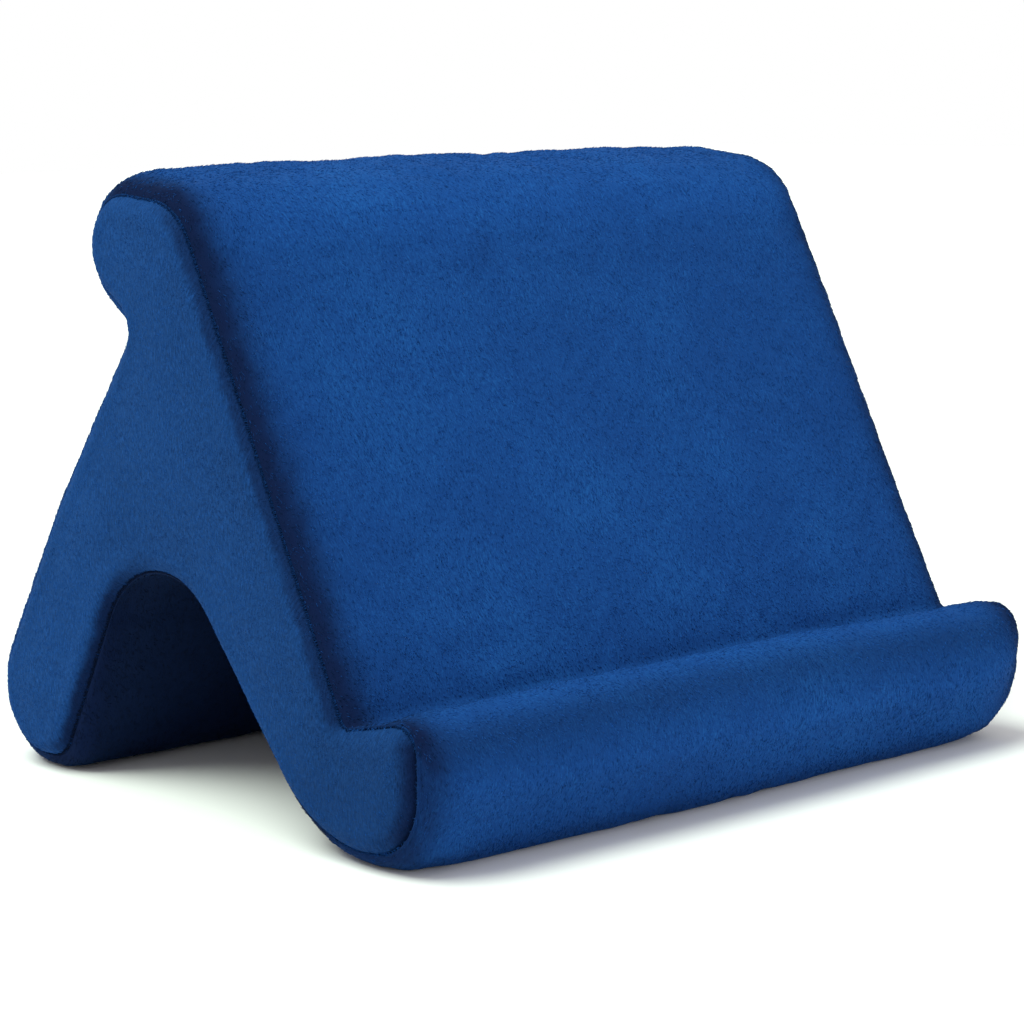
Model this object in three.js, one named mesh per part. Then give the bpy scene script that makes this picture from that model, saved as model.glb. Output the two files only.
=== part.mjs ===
// Tablet pillow: an A-shaped cushion in short-pile plush, with a sloped rest face and a fat lip roll along
// its foot, a tunnel arch right through under the slope, and a rear leg under a top roll that overhangs a
// notch. One wrap panel runs round the profile and holds the filling, and a separate domed panel closes each
// end inside a drawn-in seam.
// Units are millimetres, +Z is up, +X runs along the width and -Y is the side with the lip.
// The origin is on the floor, under the middle of the cushion.

import * as THREE from "three";

// Width from the left end seam to the right end seam.
const SEAM_WIDTH = 281;

// How far the circles under the feet sink into the floor, so that each foot rests on a flat strip.
const FOOT_SINK = 0.5;

// How far the cloth is drawn in at each seam, where the profile's table gives no other end.
const DRAWN_IN = 5;

// The end panels: cloth thickness, gap to the filling behind, and how the panel swells out from its seam.
const PANEL_THICKNESS = 2;
const PANEL_GAP = 0.3;
const PANEL_SET_IN = 0.9;
const DOME_RISE = 5;
const DOME_REACH = 9;
const SEAM_STEP_IN = 0.5;

// Facets: rings over each rounded end, rings over each dome and rings along the crowned middle.
const ROUNDING_RINGS = 6;
const DOME_RINGS = 4;
const CROWN_RINGS = 5;

// The circles at the seam, as y, z and radius, where the cloth is not simply drawn in there.
const LIP_SEAM = [-28.2, 40.6, 9.8];
const TROUGH_SEAM = [-1.9, 48.5, 3.5];
const CREST_SEAM = [116.5, 190.5, 19.5];
const NOTCH_SEAM = [122, 163.3, 6.4];
const HEEL_SEAM = [181.8, 28.9, 24.3];
const ARCH_SEAM = [100.8, 42, 38.5];
const CHIN_SEAM = [-12.8, 30.5, 25];

// The profile is a belt round these circles, in order from the lip up the rest face and back along the floor.
// turn is 1 where the belt bends outwards and -1 in a hollow. y, z and r are the circle's centre and radius
// in the middle of the width, with y measured from the lower edge of the rest face, and end is its circle at
// the seam. round is the length along X over which it is drawn in, crown is how far the middle swells, and
// steps is the number of facets on the bend.
const PROFILE = [
  { name: "lip", turn: 1, y: -25.7, z: 32.5, r: 18.2, end: LIP_SEAM, round: 22, crown: 2, steps: 8 },
  { name: "trough", turn: -1, y: -8, z: 50.2, r: 4.5, end: TROUGH_SEAM, round: 8, crown: 0, steps: 5 },
  { name: "brow", turn: 1, y: 99.4, z: 182.9, r: 30.6, round: 8, crown: 2, steps: 4 },
  { name: "crest", turn: 1, y: 115.1, z: 190, r: 26.6, end: CREST_SEAM, round: 18, crown: 2, steps: 9 },
  { name: "notch", turn: -1, y: 126.4, z: 160.8, r: 4.3, end: NOTCH_SEAM, round: 20, crown: 2, steps: 6 },
  { name: "back", turn: 1, y: -40.5, z: -53.3, r: 260, round: 8, crown: 2, steps: 4 },
  { name: "heel", turn: 1, y: 183.7, z: 29.3, r: 29.3, end: HEEL_SEAM, round: 8, crown: 2, steps: 8 },
  { name: "toe", turn: 1, y: 176.8, z: 20.7, r: 20.7, round: 8, crown: 0, steps: 5 },
  { name: "arch", turn: -1, y: 102.7, z: 45.4, r: 35.8, end: ARCH_SEAM, round: 8, crown: 2, steps: 10 },
  { name: "sole", turn: 1, y: -6.3, z: 56.7, r: 56.7, round: 12, crown: 2, steps: 6 },
  { name: "chin", turn: 1, y: -16.6, z: 20.2, r: 20.2, end: CHIN_SEAM, round: 19, crown: 2, steps: 7 },
];
const FEET = ["heel", "toe", "sole", "chin"];

const PLUSH_BLUE = 0x1c4d96;

const halfWidth = SEAM_WIDTH / 2;
const { lerp } = THREE.MathUtils;

// 0 over the middle of the width and 1 at the seam, along a quarter of an ellipse.
function drawnIn(x, round) {
  const t = Math.max(0, 1 - (halfWidth - Math.abs(x)) / round);
  return 1 - Math.sqrt(Math.max(0, 1 - t * t));
}

// The circles of the section at x, taken in all round by inset.
function circlesAt(x, inset = 0) {
  const swell = 1 - (x / halfWidth) ** 2;
  return PROFILE.map((bend) => {
    const drawn = drawnIn(x, bend.round);
    const [endY, endZ, endR] = bend.end ?? [bend.y, bend.z, bend.r - bend.turn * DRAWN_IN];
    const sink = FEET.includes(bend.name) ? FOOT_SINK : 0;
    const grown = bend.crown * swell - inset;
    return {
      centre: new THREE.Vector2(lerp(bend.y, endY, drawn), lerp(bend.z, endZ, drawn) - sink),
      radius: bend.turn * lerp(bend.r, endR, drawn) + grown,
      turn: bend.turn,
      steps: bend.steps,
    };
  });
}

// The outward normal of the straight run that touches circle a and then circle b, where a hollow's radius is
// negative.
function tangentNormal(a, b) {
  const along = b.centre.clone().sub(a.centre);
  const lean = (a.radius - b.radius) / along.length();
  if (Math.abs(lean) >= 1) throw new Error("two circles of the profile have no common tangent");
  along.normalize();
  const left = new THREE.Vector2(-along.y, along.x);
  return along.multiplyScalar(lean).addScaledVector(left, Math.sqrt(1 - lean * lean));
}

// The closed outline of one section, as points (y, z). Where it would dip under the floor it lies flat on it.
function outline(circles) {
  const normals = circles.map((circle, i) => tangentNormal(circle, circles[(i + 1) % circles.length]));
  return circles.flatMap((circle, i) => {
    const first = normals.at(i - 1).angle();
    let sweep = normals[i].angle() - first;
    if (circle.turn > 0 && sweep > 0) sweep -= 2 * Math.PI;
    if (circle.turn < 0 && sweep < 0) sweep += 2 * Math.PI;
    return Array.from({ length: circle.steps + 1 }, (_, k) => {
      const angle = first + (sweep * k) / circle.steps;
      const y = circle.centre.x + circle.radius * Math.cos(angle);
      const z = circle.centre.y + circle.radius * Math.sin(angle);
      return new THREE.Vector2(y, Math.max(0, z));
    });
  });
}

// The middle section reaches furthest to the front and the back, so it gives the middle of the depth.
const middle = outline(circlesAt(0));
const depthCentre = (Math.min(...middle.map((p) => p.x)) + Math.max(...middle.map((p) => p.x))) / 2;

function ring(x, inset = 0, sectionX = x) {
  return outline(circlesAt(sectionX, inset)).map((p) => new THREE.Vector3(x, p.x - depthCentre, p.y));
}

// A solid through rings that follow each other from -X to +X, closed by a flat cap at each end.
function loft(rings) {
  const count = rings[0].length;
  const positions = rings.flat().flatMap((p) => [p.x, p.y, p.z]);
  const faces = [];
  for (let i = 0; i < rings.length - 1; i += 1) {
    for (let j = 0; j < count; j += 1) {
      const a = i * count + j;
      const b = i * count + ((j + 1) % count);
      faces.push(a, b + count, b, a, a + count, b + count);
    }
  }
  const lastRing = (rings.length - 1) * count;
  for (const [start, facesPlusX] of [[0, false], [lastRing, true]]) {
    const contour = rings[start / count].map((p) => new THREE.Vector2(p.y, p.z));
    for (const [a, b, c] of THREE.ShapeUtils.triangulateShape(contour, [])) {
      const turned = THREE.ShapeUtils.area([contour[a], contour[b], contour[c]]) > 0;
      faces.push(start + a, ...(turned === facesPlusX ? [start + b, start + c] : [start + c, start + b]));
    }
  }
  const geometry = new THREE.BufferGeometry();
  geometry.setAttribute("position", new THREE.Float32BufferAttribute(positions, 3));
  geometry.setIndex(faces);
  geometry.computeVertexNormals();
  return geometry;
}

function mirrored(rings) {
  return rings.map((points) => points.map((p) => new THREE.Vector3(-p.x, p.y, p.z))).reverse();
}

// How far the filling swells past the seam plane, inset millimetres in from the seam line.
function domeHeight(inset) {
  const t = Math.min(1, inset / DOME_REACH);
  return DOME_RISE * (1 - (1 - t) ** 2) - PANEL_THICKNESS - PANEL_GAP;
}

// Rings over the domed end from the edge inwards, lifted off the filling by lift.
function domeRings(edge, lift) {
  return Array.from({ length: DOME_RINGS + 1 }, (_, k) => {
    const inset = lerp(edge, DOME_REACH, k / DOME_RINGS);
    return ring(halfWidth + domeHeight(inset) + lift, inset, halfWidth);
  });
}

// The wrap panel with its filling: the crowned middle, the ends drawn in to the seam, and the domed ends
// of the filling, which the end panels cover.
function cushionBody() {
  const longestRound = Math.max(...PROFILE.map((bend) => bend.round));
  const shortestRound = Math.min(...PROFILE.map((bend) => bend.round));
  const rounding = Array.from({ length: ROUNDING_RINGS + 1 }, (_, k) => {
    const angle = (Math.PI / 2) * (k / ROUNDING_RINGS);
    return halfWidth - shortestRound * (1 - Math.sin(angle));
  });
  const crowned = Array.from({ length: CROWN_RINGS }, (_, k) => {
    return (halfWidth - longestRound) * (k / (CROWN_RINGS - 1));
  });
  const lead = [2 / 3, 1 / 3].map((t) => halfWidth - shortestRound - t * (longestRound - shortestRound));
  const right = [...crowned, ...lead, ...rounding].map((x) => ring(x));
  right.push(...domeRings(SEAM_STEP_IN, 0));
  return loft([...mirrored(right.slice(1)), ...right]);
}

// One end panel: a sheet of cloth that follows the domed filling inside the seam line.
function endPanelRings() {
  const inner = domeRings(PANEL_SET_IN, PANEL_GAP);
  const outer = domeRings(PANEL_SET_IN, PANEL_GAP + PANEL_THICKNESS);
  return [...inner.reverse(), ...outer];
}

function plush(colour) {
  return new THREE.MeshStandardMaterial({ color: colour, roughness: 0.95, metalness: 0 });
}

function mesh(name, geometry, material) {
  const piece = new THREE.Mesh(geometry, material);
  piece.name = name;
  return piece;
}

const pillow = new THREE.Group();
pillow.add(mesh("cushion_body", cushionBody(), plush(PLUSH_BLUE)));
pillow.add(mesh("end_panel_left", loft(mirrored(endPanelRings())), plush(PLUSH_BLUE)));
pillow.add(mesh("end_panel_right", loft(endPanelRings()), plush(PLUSH_BLUE)));

export default pillow;
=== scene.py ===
import math
from collections import namedtuple

import bpy
import numpy as np
from bpy.props import FloatProperty, FloatVectorProperty, PointerProperty
from mathutils import Matrix, Vector, geometry, noise


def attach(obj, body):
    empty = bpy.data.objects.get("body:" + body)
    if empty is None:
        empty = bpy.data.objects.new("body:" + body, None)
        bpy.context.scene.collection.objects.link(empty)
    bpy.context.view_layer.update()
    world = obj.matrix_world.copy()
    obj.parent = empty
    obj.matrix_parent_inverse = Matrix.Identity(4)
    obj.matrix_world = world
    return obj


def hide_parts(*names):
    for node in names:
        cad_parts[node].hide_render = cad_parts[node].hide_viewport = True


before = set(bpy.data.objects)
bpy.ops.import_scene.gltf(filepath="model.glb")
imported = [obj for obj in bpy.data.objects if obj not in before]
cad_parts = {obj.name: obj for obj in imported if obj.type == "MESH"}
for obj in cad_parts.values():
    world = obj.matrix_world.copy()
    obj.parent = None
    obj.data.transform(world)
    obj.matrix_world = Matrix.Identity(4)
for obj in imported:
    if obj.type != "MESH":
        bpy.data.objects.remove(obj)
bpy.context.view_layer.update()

bl_info = {
    "name": "Plush A-shaped pillow",
    "version": (1, 0, 0),
    "blender": (4, 5, 0),
    "location": "View3D > Sidebar > Pillow",
    "description": "Builds an A-shaped plush pillow with a lip roll, a tunnel arch and sewn end panels",
    "category": "Add Mesh",
}

BODY = "cushion_body"
MM = 0.001

# The least length that anything is divided by.
TINY = 1e-12

# The profile is a belt round these circles, in millimetres, in order from the lip up the rest face and back
# along the floor. turn is 1 where the belt bends outwards and -1 in a hollow. y, z and r are the circle's
# centre and radius in the middle of the width, end is the same three at the seam, or None where the cloth is
# simply drawn in, round is the length over which it is drawn in, and crown is how far the middle swells.
Bend = namedtuple("Bend", "name turn y z r end round crown")
PROFILE = (
    Bend("lip", 1, -25.7, 32.5, 18.2, (-28.2, 40.6, 9.8), 22, 2),
    Bend("trough", -1, -8, 50.2, 4.5, (-1.9, 48.5, 3.5), 8, 0),
    Bend("brow", 1, 99.4, 182.9, 30.6, None, 8, 2),
    Bend("crest", 1, 115.1, 190, 26.6, (116.5, 190.5, 19.5), 18, 2),
    Bend("notch", -1, 126.4, 160.8, 4.3, (122, 163.3, 6.4), 20, 2),
    Bend("back", 1, -40.5, -53.3, 260, None, 8, 2),
    Bend("heel", 1, 183.7, 29.3, 29.3, (181.8, 28.9, 24.3), 8, 2),
    Bend("toe", 1, 176.8, 20.7, 20.7, None, 8, 0),
    Bend("arch", -1, 102.7, 45.4, 35.8, (100.8, 42, 38.5), 8, 2),
    Bend("sole", 1, -6.3, 56.7, 56.7, None, 12, 2),
    Bend("chin", 1, -16.6, 20.2, 20.2, (-12.8, 30.5, 25), 19, 2),
)
FEET = ("heel", "toe", "sole", "chin")

# Width from the left end seam to the right one. It and every length below are in millimetres, except where
# they say metres.
SEAM_WIDTH = 281.0
HALF = SEAM_WIDTH / 2

# How far the circles under the feet sink into the floor, so that each foot rests on a flat strip.
FOOT_SINK = 0.5

# How far the cloth is drawn in at each seam, where the profile's table gives no other end.
DRAWN_IN = 5.0

# How far the cloth lies inside the profile, which leaves room for its pile.
PILE_ROOM = 0.4

# The least steps on a bend, and the spacing of an outline's points where it only gives places.
LEAST_BEND_STEPS = 3
FINE_STEP = 1.0

# How far the places of a noise move from one seed to the next, in its own sizes.
NOISE_SHIFT = (3.1, 1.7, 2.3)

# The wrap's edge past the seam line: how far out along X and how far in from the outline.
# Round the end of the lip it stands up in a fine ridge and then dives into a crease. Elsewhere it rolls in.
RIDGE_AT_LIP = ((0.6, 0.1), (0.95, 0.45), (0.85, 0.85), (0.2, 1.15), (-0.8, 1.3), (-2.4, 1.4))
RIDGE_ELSEWHERE = ((0.1, 0.15), (0.1, 0.5), (-0.15, 0.85), (-0.6, 1.1), (-1.3, 1.25), (-2.4, 1.35))

# The end panel's rim, in the same way, from the bottom of the crease up to where the dome takes over.
RIM_AT_LIP = ((-2.4, 1.9), (-1.7, 1.8), (-1.1, 1.9), (-0.5, 2.3))
RIM_ELSEWHERE = ((-2.4, 1.7), (-1.3, 1.45), (-0.3, 1.15), (0.7, 1.15))

# Where the seam is crisp: round the middle of the lip's end, with the distances from it and the heights from
# which the crispness starts and is full.
LIP_END = (-30.0, 30.0)
CRISP_WITHIN = (32.0, 18.0)
CRISP_BELOW = (51.0, 42.0)

# How far in from the seam line an end panel's rounded edge reaches, and the two powers that shape it.
DOME_REACH = 9.0
DOME_ROUNDNESS = (2.6, 0.72)

# The middle of the tunnel under the slope, in the profile's own y and z, how far from it the tunnel's cloth
# can be, and how squarely the cloth faces it, from -1 to 1, where its painted shade starts and is full.
TUNNEL_MIDDLE = (102.0, 34.0)
TUNNEL_REACH = 90.0
TUNNEL_FACING = (-0.55, -0.2)

# How steeply a seam climbs where it starts to count as the front's and where it fully does.
FRONT_CLIMB = (0.1, 0.8)

# The wrap's painted light and shade, in place of how the light falls on it: the top roll painted lighter,
# and the lip painted darker with bands by the way that it faces. Each band has the way that it faces and its
# width, both in degrees, and how light it is. The lip begins and is full at two values of the profile's y,
# and the top roll at two heights.
LIP_BANDS = ((85, 18, 0.5), (42, 18, -0.5), (-12, 22, 0.45))
LIP_EDGE = (-8.0, -18.0)
LIP_DARKER = 0.35
ROLL_EDGE = (185.0, 200.0)
ROLL_LIGHTER = 0.45


class PillowSizes(bpy.types.PropertyGroup):
    """Sizes of the pillow's cloth and filling."""

    grid: FloatProperty(name="Mesh step", default=2.2 * MM, min=0.001, unit="LENGTH",
                        description="Spacing of the finished mesh round the profile")
    cloth_grid: FloatProperty(name="Simulation step", default=5 * MM, min=0.003, unit="LENGTH",
                              description="Spacing of the simulated cloth round the profile")
    swell_limit: FloatProperty(name="Swell limit", default=3.5 * MM, min=0, unit="LENGTH",
                               description="Furthest that the simulation may move the cloth")
    core_hold: FloatProperty(name="Foam hold", default=0.25, min=0, max=1,
                             description="How firmly the filling holds the cloth to its shape")
    dome_rise: FloatProperty(name="End dome", default=4.6 * MM, min=0, unit="LENGTH",
                             description="How far each end panel swells past its seam")
    panel_thickness: FloatProperty(name="Cloth thickness", default=2 * MM, min=0, unit="LENGTH",
                                   description="Thickness of an end panel with its pile")
    swell_share: FloatProperty(name="Swell share", default=0.4, min=0, max=1,
                               description="How much of the simulated swell the cloth keeps")
    lumps: FloatProperty(name="Lumps", default=0.9 * MM, min=0, unit="LENGTH",
                         description="Height of the filling's soft unevenness")
    pucker: FloatProperty(name="Puckers", default=0.45 * MM, min=0, unit="LENGTH",
                          description="Height of the gathers beside each seam")


class PillowFinish(bpy.types.PropertyGroup):
    """Colours and surface of the plush."""

    deep: FloatVectorProperty(name="Deep blue", subtype="COLOR", size=3, default=(0.0035, 0.022, 0.1),
                              description="Colour between the fibres")
    royal: FloatVectorProperty(name="Royal blue", subtype="COLOR", size=3, default=(0.0062, 0.051, 0.218),
                               description="Colour of the pile")
    side: FloatVectorProperty(name="End blue", subtype="COLOR", size=3, default=(0.0064, 0.0395, 0.15),
                              description="Colour of the end panels under their pile")
    tip: FloatVectorProperty(name="Tip blue", subtype="COLOR", size=3, default=(0.014, 0.11, 0.36),
                             description="Colour of brushed fibre tips")
    # Painted shade: the dark blue that the pile inside the arch takes in place of the shade there.
    shadow: FloatVectorProperty(name="Tunnel blue", subtype="COLOR", size=3, default=(0.004, 0.012, 0.046),
                                description="Colour of the pile inside the arch")
    # Painted shade: the dark blue that the cloth takes deep in a crease beside the seams, in place of the
    # shade there.
    crease: FloatVectorProperty(name="Crease blue", subtype="COLOR", size=3, default=(0.0021, 0.008, 0.039),
                                description="Colour of the pile deep in a crease")
    stroke: FloatProperty(name="Fibre stroke", default=3 * MM, min=0.0005, unit="LENGTH",
                          description="Length of a brushed tuft")


def between(values, none, full):
    """0 where a value is at none, 1 where it is at full, and straight between the two."""
    return np.clip((values - none) / (full - none), 0, 1)


def eased(share):
    """A share from 0 to 1, made gentle at both ends."""
    return share * share * (3 - 2 * share)


def unit(vectors):
    """The same vectors with a length of 1."""
    return vectors / np.maximum(np.linalg.norm(vectors, axis=-1, keepdims=True), TINY)


def draw_share(x, reach):
    """0 over the middle of the width and 1 at the seam, along a quarter of an ellipse."""
    t = max(0.0, 1 - (HALF - abs(x)) / reach)
    return 1 - math.sqrt(max(0.0, 1 - t * t))


def circles_at(x, inset=0.0):
    """The circles of the section at x, taken in by inset and by the pile's room: centres and signed radii."""
    centres, radii = [], []
    swell = 1 - (x / HALF) ** 2
    for bend in PROFILE:
        share = draw_share(x, bend.round)
        end_y, end_z, end_r = bend.end or (bend.y, bend.z, bend.r - bend.turn * DRAWN_IN)
        sink = FOOT_SINK + PILE_ROOM if bend.name in FEET else 0
        centres.append((bend.y + (end_y - bend.y) * share, bend.z + (end_z - bend.z) * share - sink))
        drawn = bend.r + (end_r - bend.r) * share
        radii.append(bend.turn * drawn + bend.crown * swell - inset - PILE_ROOM)
    return np.array(centres), np.array(radii)


def run_normals(centres, radii):
    """The outward normal of the straight run that touches each circle and then the next one."""
    along = np.roll(centres, -1, axis=0) - centres
    length = np.hypot(*along.T)
    lean = (radii - np.roll(radii, -1)) / length
    along /= length[:, None]
    left = np.stack((-along[:, 1], along[:, 0]), axis=1)
    return along * lean[:, None] + left * np.sqrt(1 - lean**2)[:, None]


def bend_angles(centres, radii):
    """The angle at which each bend starts, and how far it sweeps."""
    normals = run_normals(centres, radii)
    angle = np.arctan2(normals[:, 1], normals[:, 0])
    start = np.roll(angle, 1)
    turn = np.array([bend.turn for bend in PROFILE])
    sweep = angle - start
    sweep -= 2 * math.pi * turn * (sweep * turn > 0)
    return start, sweep


def belt_layout(step):
    """How many steps each bend and each run gets for a spacing, from the middle section."""
    centres, radii = circles_at(0)
    start, sweep = bend_angles(centres, radii)
    bends = np.maximum(LEAST_BEND_STEPS, np.ceil(np.abs(sweep * radii) / step)).astype(int)
    first = centres + radii[:, None] * np.stack((np.cos(start), np.sin(start)), axis=1)
    last = centres + radii[:, None] * np.stack((np.cos(start + sweep), np.sin(start + sweep)), axis=1)
    gaps = np.hypot(*(np.roll(first, -1, axis=0) - last).T)
    runs = np.maximum(1, np.ceil(gaps / step)).astype(int)
    return list(zip(bends, runs))


def belt(x, layout, inset=0.0):
    """The closed outline of the section at x, as points (y, z), flat where it meets the floor."""
    centres, radii = circles_at(x, inset)
    start, sweep = bend_angles(centres, radii)
    arcs = []
    for i, (steps, _) in enumerate(layout):
        angle = start[i] + sweep[i] * np.linspace(0, 1, steps + 1)
        arcs.append(centres[i] + radii[i] * np.stack((np.cos(angle), np.sin(angle)), axis=1))
    points = []
    for i, (_, steps) in enumerate(layout):
        after = arcs[(i + 1) % len(arcs)][0]
        share = np.linspace(0, 1, steps, endpoint=False)[1:, None]
        points.append(arcs[i])
        points.append(arcs[i][-1] * (1 - share) + after * share)
    outline = np.concatenate(points)
    outline[:, 1] = np.maximum(outline[:, 1], 0)
    return outline


def depth_shift():
    """What the profile's own y is lowered by, so that the middle of its depth is at zero."""
    middle = belt(0, belt_layout(FINE_STEP))
    return (middle[:, 0].min() + middle[:, 0].max()) / 2


SHIFT = depth_shift()


def ring(x, outline):
    """One ring of points in metres, at x."""
    return np.stack((np.full(len(outline), x), outline[:, 0] - SHIFT, outline[:, 1]), axis=1) * MM


def edge_ring(layout, out, inset):
    """One ring of points in metres, out past the right seam's plane and in from its line."""
    return ring(HALF + out, belt(HALF, layout, inset))


def stations(step, rounding_steps):
    """The x of every section from seam to seam, closer together where the ends round over."""
    reach = min(bend.round for bend in PROFILE)
    count = math.ceil((HALF - reach) / step)
    right = [(HALF - reach) * k / count for k in range(count)]
    for k in range(rounding_steps + 1):
        right.append(HALF - reach * (1 - math.sin(math.pi / 2 * k / rounding_steps)))
    return [-x for x in reversed(right[1:])] + right


def grid_normals(grid):
    """Outward unit normals of a grid of rings from -X to +X."""
    along = np.gradient(grid, axis=0)
    around = np.roll(grid, -1, axis=1) - np.roll(grid, 1, axis=1)
    return unit(np.cross(along, around))


def belt_lengths(outline):
    """How far each point is along the outline, in metres, and the whole length."""
    steps = np.hypot(*(np.roll(outline, -1, axis=0) - outline).T) * MM
    return np.concatenate(([0], np.cumsum(steps[:-1]))), steps.sum()


def grid_faces(rings, points):
    """Quads of a grid of closed rings, facing out when the rings run from -X to +X."""
    i, j = np.meshgrid(np.arange(rings - 1), np.arange(points), indexing="ij")
    a = i * points + j
    b = i * points + (j + 1) % points
    return np.stack((a, a + points, b + points, b), axis=-1).reshape(-1, 4)


def closed_faces(rings, points):
    """The same quads with a cap at each end."""
    first = list(range(points))
    last = list(range((rings - 1) * points, rings * points))
    return grid_faces(rings, points).tolist() + [first, last[::-1]]


def new_piece(name, points, faces):
    """A new object in the scene, from points in metres and faces."""
    mesh = bpy.data.meshes.new(name)
    mesh.from_pydata(points.tolist(), [], faces)
    mesh.update()
    piece = bpy.data.objects.new(name, mesh)
    bpy.context.scene.collection.objects.link(piece)
    return piece


def only(piece):
    """Selects this piece alone and makes it active."""
    bpy.ops.object.select_all(action="DESELECT")
    piece.select_set(True)
    bpy.context.view_layer.objects.active = piece


def read_values(items, key, width=1, kind=float):
    """One number for each of a mesh's items, or one row of them."""
    values = np.empty(len(items) * width, dtype=kind)
    items.foreach_get(key, values)
    return values if width == 1 else values.reshape(-1, width)


def at_lip(outline):
    """1 where an outline passes the front of the lip's end and 0 well away from it."""
    gap = np.hypot(*(outline - np.array(LIP_END)).T)
    return eased(between(gap, *CRISP_WITHIN) * between(outline[:, 1], *CRISP_BELOW))


def tunnel_share(outline, way):
    """1 where an outline in metres, whose outward way is given, faces into the tunnel, and 0 elsewhere."""
    towards = (np.array(TUNNEL_MIDDLE) - np.array((SHIFT, 0))) * MM - outline
    gap = np.linalg.norm(towards, axis=-1)
    facing = (way * towards).sum(axis=-1) / np.maximum(gap, TINY)
    return eased(between(facing, *TUNNEL_FACING) * (gap < TUNNEL_REACH * MM))


def front_share(along):
    """1 where a seam climbs the front of the pillow and 0 where it runs down the back."""
    return between(along[:, 1], *FRONT_CLIMB)


def wrap_painted_shading(places, normals):
    """Painted light and shade on the wrap: the top roll painted lighter, and the lip painted darker with its
    bands by the way that it faces.
    """
    rise = np.degrees(np.arcsin(np.clip(normals[..., 2], -1, 1)))
    bands = sum(light * np.exp(-((rise - middle) / width) ** 2) for middle, width, light in LIP_BANDS)
    lip = between(places[..., 1], *((y - SHIFT) * MM for y in LIP_EDGE))
    roll = between(places[..., 2], *(z * MM for z in ROLL_EDGE))
    return lip * (bands - LIP_DARKER) + ROLL_LIGHTER * roll * (1 - lip)


def seam_rings(crisp, soft, layout):
    """Rings along the seam on two paths, the crisp one at the lip's end and the soft one elsewhere."""
    share = at_lip(belt(HALF, layout))[:, None]
    rings = []
    for at_end, elsewhere in zip(crisp, soft):
        rings.append(edge_ring(layout, *at_end) * share + edge_ring(layout, *elsewhere) * (1 - share))
    return rings


def panel_dome(inset, rise):
    """How far an end panel stands past the seam plane, inset in from where its dome starts."""
    t = np.clip(inset / DOME_REACH, 0, 1)
    shoulder, flatness = DOME_ROUNDNESS
    return rise * (1 - (1 - t) ** shoulder) ** flatness


def soft_noise(points, size, seed):
    """Smooth noise from -1 to 1 at each point, with features of about this size in metres."""
    offset = Vector([seed * shift for shift in NOISE_SHIFT])
    flat = points.reshape(-1, 3)
    values = np.array([noise.noise(Vector(p) / size + offset) for p in flat])
    return values.reshape(points.shape[:-1])


def belt_map(piece, u, v):
    """Writes the cloth's own UV map in metres: u along the cut, v across it."""
    layer = piece.data.uv_layers.new(name="cloth")
    coordinates = np.stack((u, v), axis=-1).astype(np.float32)
    layer.data.foreach_set("uv", coordinates.reshape(-1))


def write_attribute(piece, name, values):
    """Writes one number for each vertex."""
    attribute = piece.data.attributes.new(name, "FLOAT", "POINT")
    attribute.data.foreach_set("value", np.asarray(values, dtype=np.float32).reshape(-1))


def smooth(piece):
    """Shades every face smooth."""
    piece.data.polygons.foreach_set("use_smooth", [True] * len(piece.data.polygons))
    piece.data.update()


# The simulated cloth: sections over each rounded end, frames to run, and its settings by Blender's own names.
SIMULATED_ROUNDING = 4
SIMULATED_FRAMES = 20
CLOTH_SETTINGS = {
    "quality": 6,
    "mass": 0.15,
    "tension_stiffness": 12,
    "compression_stiffness": 12,
    "shear_stiffness": 4,
    "bending_stiffness": 0.4,
    "use_pressure": True,
    "uniform_pressure_force": 4,
    "shrink_min": -0.03,
    "pin_stiffness": 1.0,
}


def settle_cloth(pad, held):
    """Runs the cloth simulation on the pad and applies its result."""
    cloth = pad.modifiers.new("Cloth", "CLOTH")
    for key, value in CLOTH_SETTINGS.items():
        setattr(cloth.settings, key, value)
    cloth.settings.effector_weights.gravity = 0
    cloth.settings.vertex_group_mass = held
    cloth.collision_settings.use_collision = False
    cloth.collision_settings.use_self_collision = False
    scene = bpy.context.scene
    for step in range(1, SIMULATED_FRAMES + 1):
        scene.frame_set(step)
    only(pad)
    bpy.ops.object.modifier_apply(modifier=cloth.name)
    scene.frame_set(1)


def simulated_swell(sizes):
    """Runs the cloth over the filling and returns how far it moved outwards, on the coarse grid."""
    layout = belt_layout(sizes.cloth_grid / MM)
    xs = stations(sizes.cloth_grid / MM, SIMULATED_ROUNDING)
    grid = np.array([ring(x, belt(x, layout)) for x in xs])
    rings, points, _ = grid.shape
    pad = new_piece("simulated_cloth", grid.reshape(-1, 3), closed_faces(rings, points))
    held = pad.vertex_groups.new(name="held")
    held.add(list(range(rings * points)), sizes.core_hold, "REPLACE")
    held.add(list(range(points)) + list(range((rings - 1) * points, rings * points)), 1.0, "REPLACE")
    settle_cloth(pad, held.name)
    moved = read_values(pad.data.vertices, "co", 3).reshape(grid.shape)
    bpy.data.objects.remove(pad)
    swell = ((moved - grid) * grid_normals(grid)).sum(axis=2)
    swell = np.clip(swell - np.median(swell), -sizes.swell_limit, sizes.swell_limit)
    around, whole = belt_lengths(belt(0, layout))
    return np.array(xs) * MM, around, whole, swell


def resampled(field, xs, around):
    """The coarse field at finer places, in straight lines between its own places."""
    field_x, field_around, whole, values = field
    wrapped = np.concatenate((values, values[:, :1]), axis=1)
    places = np.concatenate((field_around, [whole]))
    by_ring = np.array([np.interp(around, places, row) for row in wrapped])
    return np.array([np.interp(xs, field_x, column) for column in by_ring.T]).T


# The wrap's sections: their spacing along the width, and how many round over each end.
WRAP_STEP = 3.0
WRAP_ROUNDING = 10

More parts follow.
